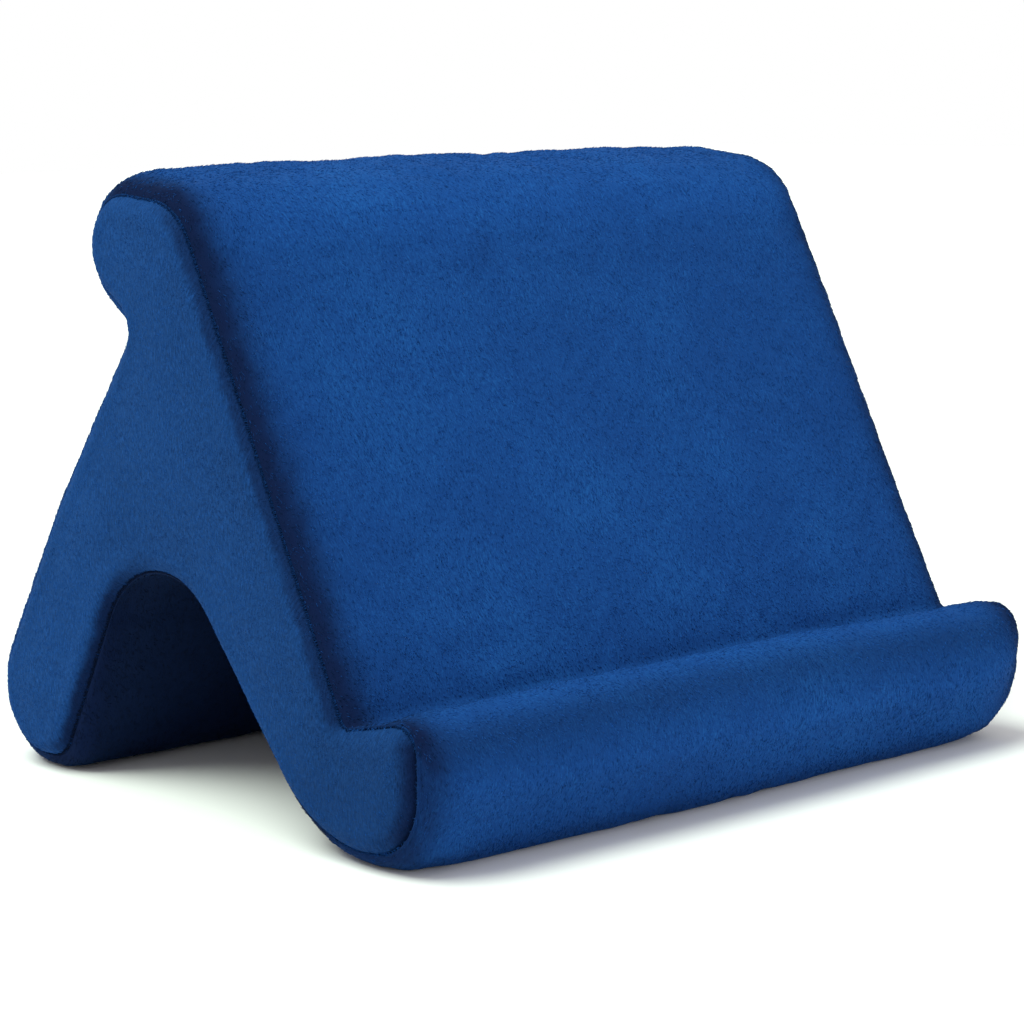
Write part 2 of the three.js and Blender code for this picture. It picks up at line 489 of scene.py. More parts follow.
# The filling's unevenness: the size of its lumps in metres, their share of the full height and their seed. It
# comes up to its height over this distance from the seam.
LUMPS = ((0.055, 1.0, 1), (0.018, 0.35, 2))
LUMPS_EASE = 8.0

# The gathers beside each seam: the scale of their places, which draws them out along X, their size in metres
# and seed, how far from the seam they die away, and over what distance beside it they start.
GATHER_STRETCH = (0.15, 1, 1)
GATHER_NOISE = (0.006, 3)
GATHER_REACH = 7.0
GATHER_START = 1.5

# The filling behind the end panels: how far in its rings are and its own dome starts, the room under the
# panel, and the height, behind the seam plane, that it never goes below.
FILLING_INSETS = (1.6, 4.5, 6, 7.5, DOME_REACH)
FILLING_DOME_START = 4.5
FILLING_ROOM = 1.2
FILLING_DEEPEST = -3.4

# How many rings of the wrap's edge show, and how much cloth each edge ring adds to the UV map.
SHOWN_EDGE_RINGS = 2
EDGE_STEP = 0.4

# How dark the painted shade on the wrap is in the crease beside each seam and in the soft band beyond it, and
# how wide they are. The band is stronger where the cloth faces up.
CREASE_DARK = 0.84
CREASE_WIDTH = 8.0
BAND_DARK = 0.1
BAND_DARK_ON_TOP = 0.14
BAND_WIDTH = 28.0

# How the weight of the painted crease shade follows the way that the cloth faces: its start, its loss towards
# the back, its gain towards the top, and its least. Near the floor, where the cloth faces down, it rises to
# FOOT_CREASE.
CREASE_FACING = (0.55, -0.45, 0.45, 0.25)
FOOT_CREASE = 0.8
FOOT_CREASE_HEIGHT = (60.0, 30.0)
FOOT_CREASE_FACING = (-0.3, -0.8)

# The uneven edge of the painted crease shade: the height and size in metres of its noise, and its seed.
WRAP_RAGGED = (1.5 * MM, 0.006, 31)


class PILLOW_OT_wrap(bpy.types.Operator):
    """Makes the wrap panel with its filling"""

    bl_idname = "pillow.wrap"
    bl_label = "Wrap panel"

    def execute(self, context):
        sizes = context.scene.pillow_sizes
        layout = belt_layout(sizes.grid / MM)
        xs = stations(WRAP_STEP, WRAP_ROUNDING)
        even = np.array([ring(x, belt(x, layout)) for x in xs])
        normals = grid_normals(even)
        lengths = belt_lengths(belt(0, layout))
        grid = even + normals * self.unevenness(sizes, xs, even, lengths[0])[:, :, None]
        grid[:, :, 2] = np.maximum(grid[:, :, 2], 0)
        edge = self.tucked_edge(sizes, layout)
        full = np.concatenate((edge[::-1] * np.array((-1, 1, 1)), grid, edge))
        piece = new_piece("wrap_panel", full.reshape(-1, 3), closed_faces(*full.shape[:2]))
        self.map_cloth(piece, grid, len(edge), lengths)
        self.write_shades(piece, full, grid, normals, self.from_seam(even))
        smooth(piece)
        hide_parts(BODY)
        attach(piece, "root")
        piece.data.materials.append(bpy.data.materials["wrap_plush"])
        return {"FINISHED"}

    def from_seam(self, grid):
        """How far each point of the even grid is from the nearer seam, in metres along X."""
        return np.maximum(0, HALF * MM - np.abs(grid[:, :, 0]))

    def unevenness(self, sizes, xs, grid, around):
        """How far each point of the even grid moves outwards: lumps, gathers and the simulated swell."""
        from_seam = self.from_seam(grid)
        ease = between(from_seam, 0, LUMPS_EASE * MM)
        offset = sum(share * sizes.lumps * soft_noise(grid, size, seed) * ease for size, share, seed in LUMPS)
        near = np.exp(-from_seam / (GATHER_REACH * MM)) * between(from_seam, 0, GATHER_START * MM)
        offset += sizes.pucker * soft_noise(grid * np.array(GATHER_STRETCH), *GATHER_NOISE) * near
        offset += sizes.swell_share * resampled(simulated_swell(sizes), np.array(xs) * MM, around) * ease
        return offset

    def tucked_edge(self, sizes, layout):
        """The rings past the right end's last section: the wrap's edge, then the filling behind the panel."""
        rings = seam_rings(RIDGE_AT_LIP, RIDGE_ELSEWHERE, layout)
        for inset in FILLING_INSETS:
            dome = panel_dome(inset - FILLING_DOME_START, sizes.dome_rise / MM)
            height = dome - sizes.panel_thickness / MM - FILLING_ROOM
            rings.append(edge_ring(layout, max(FILLING_DEEPEST, height), inset))
        return np.array(rings)

    def map_cloth(self, piece, grid, edge_rings, lengths):
        """The wrap as it was cut, with u round the profile and v along the width."""
        around, whole = lengths
        points = len(around)
        edge = HALF * MM + (np.arange(edge_rings) + 1) * EDGE_STEP * MM
        flat_x = np.concatenate((-edge[::-1], grid[:, 0, 0], edge))
        quads = np.arange((len(flat_x) - 1) * points)
        row, column = quads // points, quads % points
        run = np.concatenate((around, [whole]))
        u = np.stack((run[column], run[column], run[column + 1], run[column + 1]), axis=1)
        v = np.stack((flat_x[row], flat_x[row + 1], flat_x[row + 1], flat_x[row]), axis=1)
        caps = np.zeros(2 * points)
        belt_map(piece, np.concatenate((u.reshape(-1), caps)), np.concatenate((v.reshape(-1), caps)))

    def write_shades(self, piece, full, grid, normals, from_seam):
        """Writes the painted shade in each crease and in the tunnel, where the cloth is hidden, and the
        painted light and shade.
        """
        rings = len(full)
        edge_rings = (rings - len(grid)) // 2
        middle = len(grid) // 2
        facing = normals[middle]
        # Painted shade beside each seam, in the crease and in a soft band, weighted by the way that the cloth
        # faces.
        weight = self.crease_weight(facing, grid[middle, :, 2])
        height, size, seed = WRAP_RAGGED
        ragged = np.maximum(0, from_seam + height * soft_noise(grid, size, seed))
        strength = BAND_DARK + BAND_DARK_ON_TOP * np.clip(facing[:, 2], 0, 1)
        band = strength * np.exp(-ragged / (BAND_WIDTH * MM))
        crease = weight * (CREASE_DARK * np.exp(-(ragged / (CREASE_WIDTH * MM)) ** 2) + band)
        write_attribute(piece, "crease", np.pad(crease, ((edge_rings, edge_rings), (0, 0)), mode="edge"))
        hidden = np.ones(full.shape[:2])
        hidden[edge_rings - SHOWN_EDGE_RINGS:rings - edge_rings + SHOWN_EDGE_RINGS] = 0
        write_attribute(piece, "hidden", hidden)
        write_attribute(piece, "tunnel", np.tile(tunnel_share(grid[middle, :, 1:], facing[:, 1:]), rings))
        write_attribute(piece, "painted_shading", wrap_painted_shading(full, np.tile(facing, (rings, 1, 1))))

    def crease_weight(self, facing, height):
        """How strongly the painted crease shade shows, by the way that each point of the middle section
        faces.
        """
        start, to_back, to_top, least = CREASE_FACING
        weight = np.clip(start + to_back * facing[:, 1] + to_top * facing[:, 2], least, 1)
        low = between(height, *(z * MM for z in FOOT_CREASE_HEIGHT))
        return np.maximum(weight, FOOT_CREASE * low * between(facing[:, 2], *FOOT_CREASE_FACING))


# An end panel's dome, from its rim inwards: how far in from the seam line its rings are, and for each path
# where the dome starts and how far it is lifted out and shifted in. Both paths end on the same last ring.
DOME_INSETS = (2.2, 2.5, 2.9, 3.4, 4.1, 4.9, 5.8, 6.8, 7.9)
DOME_AT_LIP = (2, -0.2, 0.4)
DOME_ELSEWHERE = (1.6, 0.3, -0.4)
DOME_START = 2

# The points in the middle of an end panel: their spacing in metres, and the spacing of their rows and their
# room at the edge as shares of it. They are joined by a triangulation of the kind that stays inside, which
# takes points closer than SAME_POINT, in metres, for one.
MIDDLE_STEP = 0.0045
MIDDLE_ROWS = 0.87
MIDDLE_EDGE = 0.5
INSIDE_ONLY = 1
SAME_POINT = 1e-7

# How high the middle swells past the rounded edge, and how far in it reaches half of that.
CROWN_RISE = 1.4
CROWN_REACH = 9

# An end panel's unevenness: the size in metres of its lumps, their share of the wrap's height and their seed,
# which differs at each end, and the size and height in metres of its fine lumps and their seed. It comes up
# between two distances past the seam plane.
PANEL_LUMPS = (0.04, 0.6, 5)
PANEL_FINE_LUMPS = (0.012, 0.0002, 9)
PANEL_LUMPS_RISE = (-1, 4)

# How dark the painted shade on an end panel's rim is along the front: at least, at the lip's end and beside
# the tunnel. This painted crease shade fades from this far in over this width, which is wider at the lip's
# end. The uneven edge of the painted shade has two noises, each with its height and size in metres and its
# seed.
RIM_DARK = 0.65
RIM_DARK_AT_LIP = 0.95
RIM_DARK_AT_TUNNEL = 0.9
RIM_CREASE_START = 2.2
RIM_CREASE_WIDTH = 3.2
RIM_CREASE_WIDER_AT_LIP = 4
RIM_RAGGED = ((MM, 0.005, 31), (0.5 * MM, 0.002, 32))

# How the end panels' painted light and shade goes from darker at the front to lighter at the back: its start,
# the depth in metres over which it changes by 1, and its least and most.
PANEL_PAINTED_SHADING = (0.1, 0.24, -0.35, 0.2)

# How far behind the seam plane an end panel is hidden.
PANEL_HIDDEN = 1.2


def outline_distance(points, loop):
    """How far each point is from the closed outline, and which of its runs is nearest."""
    after = np.roll(loop, -1, axis=0)
    best = np.full(len(points), np.inf)
    nearest = np.zeros(len(points), dtype=int)
    for k, (start, end) in enumerate(zip(loop, after)):
        along = end - start
        share = np.clip(((points - start) @ along) / max(along @ along, TINY**2), 0, 1)
        gap = np.hypot(*(points - start - share[:, None] * along).T)
        nearest[gap < best] = k
        best = np.minimum(best, gap)
    return best, nearest


def middle_points(loop):
    """A lattice of points inside the loop, clear of its edge."""
    low, high = loop.min(axis=0), loop.max(axis=0)
    lattice = []
    for k, z in enumerate(np.arange(low[1], high[1], MIDDLE_STEP * MIDDLE_ROWS)):
        lattice += [(y + MIDDLE_STEP / 2 * (k % 2), z) for y in np.arange(low[0], high[0], MIDDLE_STEP)]
    lattice = np.array(lattice)
    inside = np.zeros(len(lattice), dtype=bool)
    for (y0, z0), (y1, z1) in zip(loop, np.roll(loop, -1, axis=0)):
        if z0 == z1:
            continue
        crosses = (lattice[:, 1] < max(z0, z1)) & (lattice[:, 1] >= min(z0, z1))
        inside ^= crosses & (lattice[:, 0] < y0 + (lattice[:, 1] - z0) * (y1 - y0) / (z1 - z0))
    lattice = lattice[inside]
    return lattice[outline_distance(lattice, loop)[0] > MIDDLE_STEP * MIDDLE_EDGE]


class PILLOW_OT_end_panels(bpy.types.Operator):
    """Makes the domed panel at each end"""

    bl_idname = "pillow.end_panels"
    bl_label = "End panels"

    def execute(self, context):
        sizes = context.scene.pillow_sizes
        for side, node in ((-1, "end_panel_left"), (1, "end_panel_right")):
            self.panel(sizes, side, node)
        return {"FINISHED"}

    def panel(self, sizes, side, node):
        """One end panel, shaped from the seam's outline."""
        layout = belt_layout(sizes.grid / MM)
        seam = edge_ring(layout, 0, 0)[:, 1:]
        rim = self.rim(sizes, layout)
        points, faces = self.domed(rim)
        size, share, seed = PANEL_LUMPS
        lumps = sizes.lumps * share * soft_noise(points, size, seed + side)
        size, height, seed = PANEL_FINE_LUMPS
        lumps += height * soft_noise(points, size, seed)
        points[:, 0] += lumps * between(points[:, 0], *((HALF + out) * MM for out in PANEL_LUMPS_RISE))
        points[:, 0] *= side
        if side < 0:
            faces = [face[::-1] for face in faces]
        piece = new_piece(node + "_cloth", points, faces)
        corners = read_values(piece.data.loops, "vertex_index", kind=int)
        belt_map(piece, points[corners, 2], points[corners, 1])
        self.write_shades(piece, points, seam, side)
        self.thicken(piece, sizes.panel_thickness)
        smooth(piece)
        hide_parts(node)
        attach(piece, "root")
        inner_loop = rim[-1][:, 1:]
        size = inner_loop.max(axis=0) - inner_loop.min(axis=0) + 2 * DOME_REACH * MM
        piece.data.materials.append(bpy.data.materials["panel_plush"])

    def rim(self, sizes, layout):
        """The panel's rings from the bottom of the crease to where its rounded edge ends."""
        rise = sizes.dome_rise / MM
        last = (float(panel_dome(DOME_REACH - DOME_START, rise)), DOME_REACH)
        paths = []
        for rim, (start, lift, shift) in ((RIM_AT_LIP, DOME_AT_LIP), (RIM_ELSEWHERE, DOME_ELSEWHERE)):
            dome = [(float(panel_dome(inset - start, rise)) + lift, inset + shift) for inset in DOME_INSETS]
            paths.append([*rim, *dome, last])
        return np.array(seam_rings(*paths, layout))

    def domed(self, rim):
        """The points and faces of the rim and of the middle inside it, for the right end."""
        count = rim.shape[1]
        inner_loop = rim[-1][:, 1:]
        spots = [Vector(p) for p in inner_loop] + [Vector(p) for p in middle_points(inner_loop)]
        edges = [(k, (k + 1) % count) for k in range(count)]
        flat, _, triangles, *_ = geometry.delaunay_2d_cdt(spots, edges, [], INSIDE_ONLY, SAME_POINT)
        if len(flat) != len(spots):
            raise RuntimeError("the end panel's middle points fell on its outline")
        inside = np.array([tuple(p) for p in flat])[count:]
        gap = outline_distance(inside, inner_loop)[0]
        crown = CROWN_RISE * MM * gap**2 / (gap**2 + (CROWN_REACH * MM) ** 2)
        points = np.concatenate((rim.reshape(-1, 3), np.column_stack((rim[-1][0, 0] + crown, inside))))
        last = (len(rim) - 1) * count
        faces = grid_faces(len(rim), count).tolist()
        faces += [[last + k for k in triangle] for triangle in triangles]
        return points, faces

    def write_shades(self, piece, points, seam, side):
        """Writes the painted shade along the rim's crease, the painted light and shade from front to back,
        where the panel is hidden, and an empty tunnel shade.
        """
        rim_gap, nearest = outline_distance(points[:, 1:], seam)
        along = unit((np.roll(seam, -1, axis=0) - seam)[nearest])
        out = np.column_stack((-along[:, 1], along[:, 0]))
        lip = at_lip(points[:, 1:] / MM + np.array((SHIFT, 0)))
        tunnel = tunnel_share(seam[nearest], out)
        # Painted shade along the rim's crease at the front, darkest at the lip's end and beside the tunnel.
        dark = np.maximum(RIM_DARK, np.maximum(RIM_DARK_AT_LIP * lip, RIM_DARK_AT_TUNNEL * tunnel))
        ragged = rim_gap + sum(height * soft_noise(points, size, seed) for height, size, seed in RIM_RAGGED)
        width = (RIM_CREASE_WIDTH + RIM_CREASE_WIDER_AT_LIP * lip) * MM
        fade = eased(np.clip((ragged - RIM_CREASE_START * MM) / width, 0, 1))
        write_attribute(piece, "crease", front_share(along) * dark * (1 - fade))
        # Painted shade towards the front and painted light towards the back.
        start, depth, least, most = PANEL_PAINTED_SHADING
        write_attribute(piece, "painted_shading", np.clip(start + points[:, 1] / depth, least, most))
        write_attribute(piece, "hidden", (points[:, 0] * side < (HALF - PANEL_HIDDEN) * MM) * 1.0)
        write_attribute(piece, "tunnel", np.zeros(len(points)))

    def thicken(self, piece, thickness):
        """Gives the panel its thickness, inwards."""
        solid = piece.modifiers.new("Thickness", "SOLIDIFY")
        solid.thickness = thickness
        solid.offset = -1
        solid.use_even_offset = True
        only(piece)
        bpy.ops.object.modifier_apply(modifier=solid.name)


# The shades of the pile outside the tunnel, from the darkest tufts to the palest: how bright each is against
# the pile's blue, and the tone up to which a tuft has it. The darkest mostly carry the painted crease shade.
# Inside the tunnel one dark brightness, painted shade, does for all.
SHADES = (
    ("navy", 0.3, -2.2),
    ("dusk", 0.54, -1.6),
    ("deep", 0.8, -0.75),
    ("royal", 0.96, 0.0),
    ("bright", 1.15, 0.6),
    ("pale", 1.42, 99),
)
TUNNEL_BRIGHTNESS = 0.7
PILE_SEED = 11

# The most tufts that one piece holds.
PIECE_TUFTS = 45000

# How the pile grows on each cloth: the number of tufts, their length, width and rise, the nap's turn in
# radians, how far the nap wanders, how strongly the shades differ and how much darker they are.
Pile = namedtuple("Pile", "cloth tufts length width rise turn wander contrast darker")
PILES = (
    Pile("wrap_panel", 150000, 1.6, 0.33, 0.32, 0.25, 1.0, 0.8, 0),
    Pile("end_panel_left_cloth", 20000, 1.0, 0.27, 0.26, 0.6, 1.5, 0.5, 0.75),
    Pile("end_panel_right_cloth", 20000, 1.0, 0.27, 0.26, 0.6, 1.5, 0.5, 0.75),
)

# How far single tufts differ, as shares of the length, width and rise, and the spread of the nap in radians.
LENGTH_RANGE = (0.6, 1.25)
WIDTH_RANGE = (0.7, 1.3)
RISE_RANGE = (0.4, 1.2)
NAP_SPREAD = 0.25

# The soft patches of the nap and of the shades: the strength, size in metres and seed of each noise.
NAP_PATCHES = ((1.0, 0.03, 21), (0.6, 0.008, 22))
SHADE_PATCHES = ((0.7, 0.035, 23), (0.45, 0.011, 24))

# The tone of a tuft: where its spread is centred, what the painted light and shade adds, and what the painted
# crease shade takes away.
TONE_CENTRE = 0.8
PAINTED_SHADING_TONE = 0.5
CREASE_SHADE_TONE = (1.2, 3.8)

# No tuft grows on a face whose mean height, in metres, is under BARE_BELOW, or reaches below LOWEST_PILE.
BARE_BELOW = 0.002
LOWEST_PILE = 0.1

# A tuft's closed spike: how deep its root lies, and how high its ridge is over the root, as a share of its
# width and a height to add.
ROOT_DEPTH = 0.35
RIDGE_SHARE = 0.3
RIDGE_HEIGHT = 0.3

# The tufts that cross each seam, from the wrap's edge and from the end panel's rim. way is 1 where they lean
# over the wrap and -1 where they lean over the panel, inset and out are where they grow, lean is how far
# they lean along X, longer stretches them, tone is where their tone is centred, low as painted shade in the
# seam, front_tone and lip_tone are what the front and the lip's end add to their tone, painted shade along
# the front and less painted shade at the lip's end, and tunnel is 1 where those beside the tunnel take its
# painted shade.
SeamPile = namedtuple("SeamPile", "way inset out lean longer tone front_tone lip_tone tunnel")
SEAM_PILES = (
    SeamPile(-1, 0.3, 0.1, 0.6, 1, -2.0, 0, 1.6, 1),
    SeamPile(1, 1.5, 0.6, 0.1, 1.35, 0.1, -2.0, 0, 0),
)

# How many of them grow on each side of a seam, the share left out at the lip's end, their sizes, how much
# they lean along the seam and differ in tone, and how far they face along X and out from the outline.
SEAM_TUFTS = 4500
LEFT_OUT_AT_LIP = 0.8
SEAM_TUFT_LENGTH = (0.9, 1.9)
SEAM_TUFT_WIDTH = (0.22, 0.4)
SEAM_TUFT_RISE = (0.1, 0.5)
SEAM_TUFT_LEAN = 0.6
SEAM_TUFT_TONES = 0.5
SEAM_TUFT_FACING = (0.8, 0.6)


def cloth_samples(piece, count, rng):
    """Evenly scattered places on a piece: points, outward normals and the painted shade of crease and tunnel
    and the painted light and shade there.
    """
    mesh = piece.data
    mesh.calc_loop_triangles()
    corners = read_values(mesh.loop_triangles, "vertices", 3, int)
    places = read_values(mesh.vertices, "co", 3)
    slopes = read_values(mesh.vertex_normals, "vector", 3)
    names = ("crease", "hidden", "tunnel", "painted_shading")
    crease, hidden, tunnel, painted_shading = (read_values(mesh.attributes[name].data, "value") for name in names)
    a, b, c = (places[corners[:, k]] for k in range(3))
    flat = np.cross(b - a, c - a)
    area = np.linalg.norm(flat, axis=1) / 2
    area *= (hidden[corners].max(axis=1) < 0.5) & ((a + b + c)[:, 2] > 3 * BARE_BELOW)
    if a[:, 0].min() > 0 or a[:, 0].max() < 0:
        # This is an end panel, whose inner face grows no pile.
        area *= flat[:, 0] * a[:, 0] > 0
    chosen = rng.choice(len(area), size=count, p=area / area.sum())
    share = rng.random((count, 2))
    share = np.where(share.sum(axis=1, keepdims=True) > 1, 1 - share, share)
    weights = np.column_stack((1 - share.sum(axis=1), share))

    def blended(values):
        picked = values[corners[chosen]]
        return (picked * weights.reshape(weights.shape + (1,) * (picked.ndim - 2))).sum(axis=1)

    return blended(places), unit(blended(slopes)), blended(crease), blended(tunnel), blended(painted_shading)


def tufts(places, normals, nap, length, width, rise):
    """The four corners of one closed spike for each place, leaning along the nap."""
    side = unit(np.cross(normals, nap))
    along = np.cross(side, normals)
    root = places - normals * (ROOT_DEPTH * MM)
    half = side * (width / 2)[:, None]
    ridge = root + normals * (RIDGE_SHARE * width + RIDGE_HEIGHT * MM)[:, None]
    tip = places + along * length[:, None] + normals * rise[:, None]
    return np.stack((root - half, root + half, ridge, tip), axis=1)


def spike_mesh(name, spikes):
    """A mesh of closed spikes straight from their corners."""
    spike_faces = np.array(((0, 1, 2), (0, 3, 1), (1, 3, 2), (2, 3, 0)))
    faces = (np.arange(len(spikes))[:, None, None] * 4 + spike_faces).reshape(-1, 3)
    mesh = bpy.data.meshes.new(name)
    mesh.vertices.add(len(spikes) * 4)
    mesh.vertices.foreach_set("co", spikes.astype(np.float32).reshape(-1))
    mesh.loops.add(len(faces) * 3)
    mesh.loops.foreach_set("vertex_index", faces.astype(np.int32).reshape(-1))
    mesh.polygons.add(len(faces))
    mesh.polygons.foreach_set("loop_start", np.arange(0, len(faces) * 3, 3, dtype=np.int32))
    mesh.update(calc_edges=True)
    return mesh


class PILLOW_OT_pile(bpy.types.Operator):
    """Grows the short pile over the wrap and the end panels"""

    bl_idname = "pillow.pile"
    bl_label = "Pile"

    def execute(self, context):
        finish = context.scene.pillow_finish
        rng = np.random.default_rng(PILE_SEED)
        parts = [self.cloth_pile(row, rng) for row in PILES]
        parts += [self.seam_pile(side, row, rng) for side in (-1, 1) for row in SEAM_PILES]
        spikes, tone, tunnel = (np.concatenate(column) for column in zip(*parts))
        spikes[:, :, 2] = np.maximum(spikes[:, :, 2], LOWEST_PILE * MM)
        # Tufts that face into the tunnel take one dark blue, painted shade.
        inside = rng.random(len(tunnel)) < tunnel
        self.grow("pile_tunnel", spikes[inside], finish.shadow, TUNNEL_BRIGHTNESS)
        lowest = -np.inf
        for name, brightness, highest in SHADES:
            chosen = ~inside & (tone >= lowest) & (tone < highest)
            self.grow("pile_" + name, spikes[chosen], finish.royal, brightness)
            lowest = highest
        return {"FINISHED"}

    def cloth_pile(self, row, rng):
        """Spikes all over one cloth, with the tone and the tunnel's share of each."""
        count = row.tufts
        places, normals, crease, tunnel, painted_shading = cloth_samples(bpy.data.objects[row.cloth], count, rng)
        across = np.array((1.0, 0, 0)) if row.cloth == "wrap_panel" else np.array((0, 1.0, 0))
        around = unit(np.cross(normals, across))
        across = np.cross(around, normals)
        patches = sum(strength * soft_noise(places, size, seed) for strength, size, seed in NAP_PATCHES)
        angle = row.turn + row.wander * patches + rng.normal(0, NAP_SPREAD, count)
        nap = -around * np.cos(angle)[:, None] + across * np.sin(angle)[:, None]
        length = row.length * MM * rng.uniform(*LENGTH_RANGE, count)
        width = row.width * MM * rng.uniform(*WIDTH_RANGE, count)
        rise = row.rise * MM * rng.uniform(*RISE_RANGE, count)
        patches = sum(strength * soft_noise(places, size, seed) for strength, size, seed in SHADE_PATCHES)
        tone = row.contrast * (patches + rng.exponential(1.0, count) - TONE_CENTRE)
        # The painted light and shade shifts a tuft's tone, and the painted crease shade lowers it.
        tone += PAINTED_SHADING_TONE * painted_shading - row.darker
        tone -= np.clip(crease, 0, 1) * rng.uniform(*CREASE_SHADE_TONE, count)
        return tufts(places, normals, nap, length, width, rise), tone, tunnel

    def seam_pile(self, side, row, rng):
        """Spikes that cross a seam, with the tone and the tunnel's share of each."""
        layout = belt_layout(FINE_STEP)
        line = belt(HALF, layout)
        edge = belt(HALF, layout, row.inset)
        place = rng.integers(0, len(line), SEAM_TUFTS)
        place = place[rng.random(len(place)) > LEFT_OUT_AT_LIP * at_lip(line[place])]
        count = len(place)
        after = (place + 1) % len(line)
        share = rng.random(count)[:, None]
        spot = edge[place] * (1 - share) + edge[after] * share
        along = unit(line[after] - line[place])
        out = np.stack((-along[:, 1], along[:, 0]), axis=1)
        x = np.full(count, side * (HALF + row.out))
        places = np.column_stack((x, spot[:, 0] - SHIFT, spot[:, 1])) * MM
        facing_x, facing_out = SEAM_TUFT_FACING
        normals = np.column_stack((np.full(count, facing_x * side), out * facing_out))
        way = row.way * out + along * rng.normal(0, SEAM_TUFT_LEAN, (count, 1))
        nap = unit(np.column_stack((np.full(count, row.lean * side), way)))
        length = MM * rng.uniform(*SEAM_TUFT_LENGTH, count) * row.longer
        width = MM * rng.uniform(*SEAM_TUFT_WIDTH, count)
        rise = MM * rng.uniform(*SEAM_TUFT_RISE, count)
        # Painted shade along the seam, more along the front and less at the lip's end, and the tunnel's
        # painted shade beside it.
        tone = rng.normal(0, SEAM_TUFT_TONES, count) + row.tone
        tone += row.front_tone * front_share(along) + row.lip_tone * at_lip(line[place])
        tunnel = row.tunnel * tunnel_share(places[:, 1:], out)
        return tufts(places, normals, nap, length, width, rise), tone, tunnel

    def grow(self, name, spikes, colour, brightness):
        """Joined spikes in one shade, in as many pieces as they need."""
        material = plain_material(name, [c * brightness for c in colour], 0.85, 0.08)
        bunches = np.array_split(spikes, math.ceil(len(spikes) / PIECE_TUFTS))
        for number, bunch in enumerate(bunches, start=1):
            label = f"{name}_{number}"
            piece = bpy.data.objects.new(label, spike_mesh(label, bunch))
            bpy.context.scene.collection.objects.link(piece)
            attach(piece, "root")
            piece.data.materials.append(material)


class Nodes:
    """Adds shader nodes to a material and joins them."""

    def __init__(self, material):
        material.use_nodes = True
        self.tree = material.node_tree
        self.tree.nodes.clear()

    def add(self, kind, **settings):
        """A new node, with its inputs and its settings by their own names."""
        node = self.tree.nodes.new("ShaderNode" + kind)
        for key, value in settings.items():
            if key in node.inputs:
                self.put(node.inputs[key], value)
            else:
                setattr(node, key, value)
        return node

    def put(self, socket, value):
        """Joins an output to the socket, or sets the socket's own value."""
        if isinstance(value, bpy.types.NodeSocket):
            self.tree.links.new(value, socket)
        else:
            socket.default_value = value

    def math(self, operation, *values, clamp=False):
        node = self.tree.nodes.new("ShaderNodeMath")
        node.operation = operation
        node.use_clamp = clamp
        for socket, value in zip(node.inputs, values):
            self.put(socket, value)
        return node.outputs[0]

    def mix(self, share, first, second):
        node = self.tree.nodes.new("ShaderNodeMix")
        node.data_type = "RGBA"
        self.put(node.inputs["Factor"], share)
        self.put(node.inputs["A"], first)
        self.put(node.inputs["B"], second)
        return node.outputs["Result"]

    def vector(self, operation, first, second=None, scale=None):
        node = self.tree.nodes.new("ShaderNodeVectorMath")
        node.operation = operation
        self.put(node.inputs[0], first)
        if second is not None:
            self.put(node.inputs[1], second)
        if scale is not None:
            self.put(node.inputs["Scale"], scale)
        return node.outputs[0]

    def noise(self, vector, scale, detail=2.0, roughness=0.5):
        node = self.add("TexNoise", Vector=vector, Scale=scale, Detail=detail, Roughness=roughness)
        return node.outputs["Fac"]

    def attribute(self, name):
        return self.add("Attribute", attribute_name=name).outputs["Fac"]

    def ramp(self, value, *stops):
        node = self.tree.nodes.new("ShaderNodeValToRGB")
        self.put(node.inputs["Fac"], value)
        elements = node.color_ramp.elements
        elements[0].position, elements[0].color = stops[0]
        elements[1].position, elements[1].color = stops[-1]
        for position, colour in stops[1:-1]:
            elements.new(position).color = colour
        return node.outputs["Color"]

    def surface(self, shader):
        """Joins the shader to the material's output."""
        self.put(self.add("OutputMaterial").inputs["Surface"], shader.outputs["BSDF"])


def opaque(colour):
    """A colour with its alpha."""
    return (colour[0], colour[1], colour[2], 1)


def plain_material(name, colour, roughness, gloss):
    """One plain colour, as on the floor and on each shade of tufts."""
    material = bpy.data.materials.new(name)
    nodes = Nodes(material)
    shader = nodes.add("BsdfPrincipled", Roughness=roughness)
    shader.inputs["Base Color"].default_value = opaque(colour)
    shader.inputs["Specular IOR Level"].default_value = gloss
    nodes.surface(shader)
    return material


# The plush under its pile: how often its noises repeat in a metre, and how far its nap drifts, in metres.
DRIFT_SCALE = 28.0
DRIFT = 0.012
PATCH_SCALE = 60.0
GRAIN_SCALE = 1400.0
CLOUD_SCALE = 20.0

# Its two sets of brushed strokes, which take turns in patches: their turn as a share of the lean, their
# length as a share of a tuft's and their width in metres, and the gain and start of the patches' noise.
STROKES = ((1, 1, 0.55 * MM), (-0.5, 0.7, 0.45 * MM))
PATCH_EDGE = (4.0, -1.5)

# How much of a fibre's tone is its stroke and not its grain, and what clouds and the painted light and shade
# add to the colour.
STROKE_SHARE = 0.7
CLOUD_LIGHT = 0.4
PAINTED_SHADING_GAIN = 0.4

# The strength and height in metres of the bump from the fibres and from the clouds.
FIBRE_BUMP = (0.7, 0.5 * MM)
CLOUD_BUMP = (0.35, 2 * MM)

# The colour of the sheen.
SHEEN = (0.05, 0.3, 0.9)

# The lean of the strokes in radians and the contrast, on the wrap and on the end panels, and how much darker
# or lighter than their blue the darkest, middle and palest fibres are.
WRAP_NAP = (0.35, 1.3)
WRAP_MIDDLE = 0.88
PANEL_NAP = (0.2, 2.2)
PANEL_TONES = (0.45, 1, 1.7)


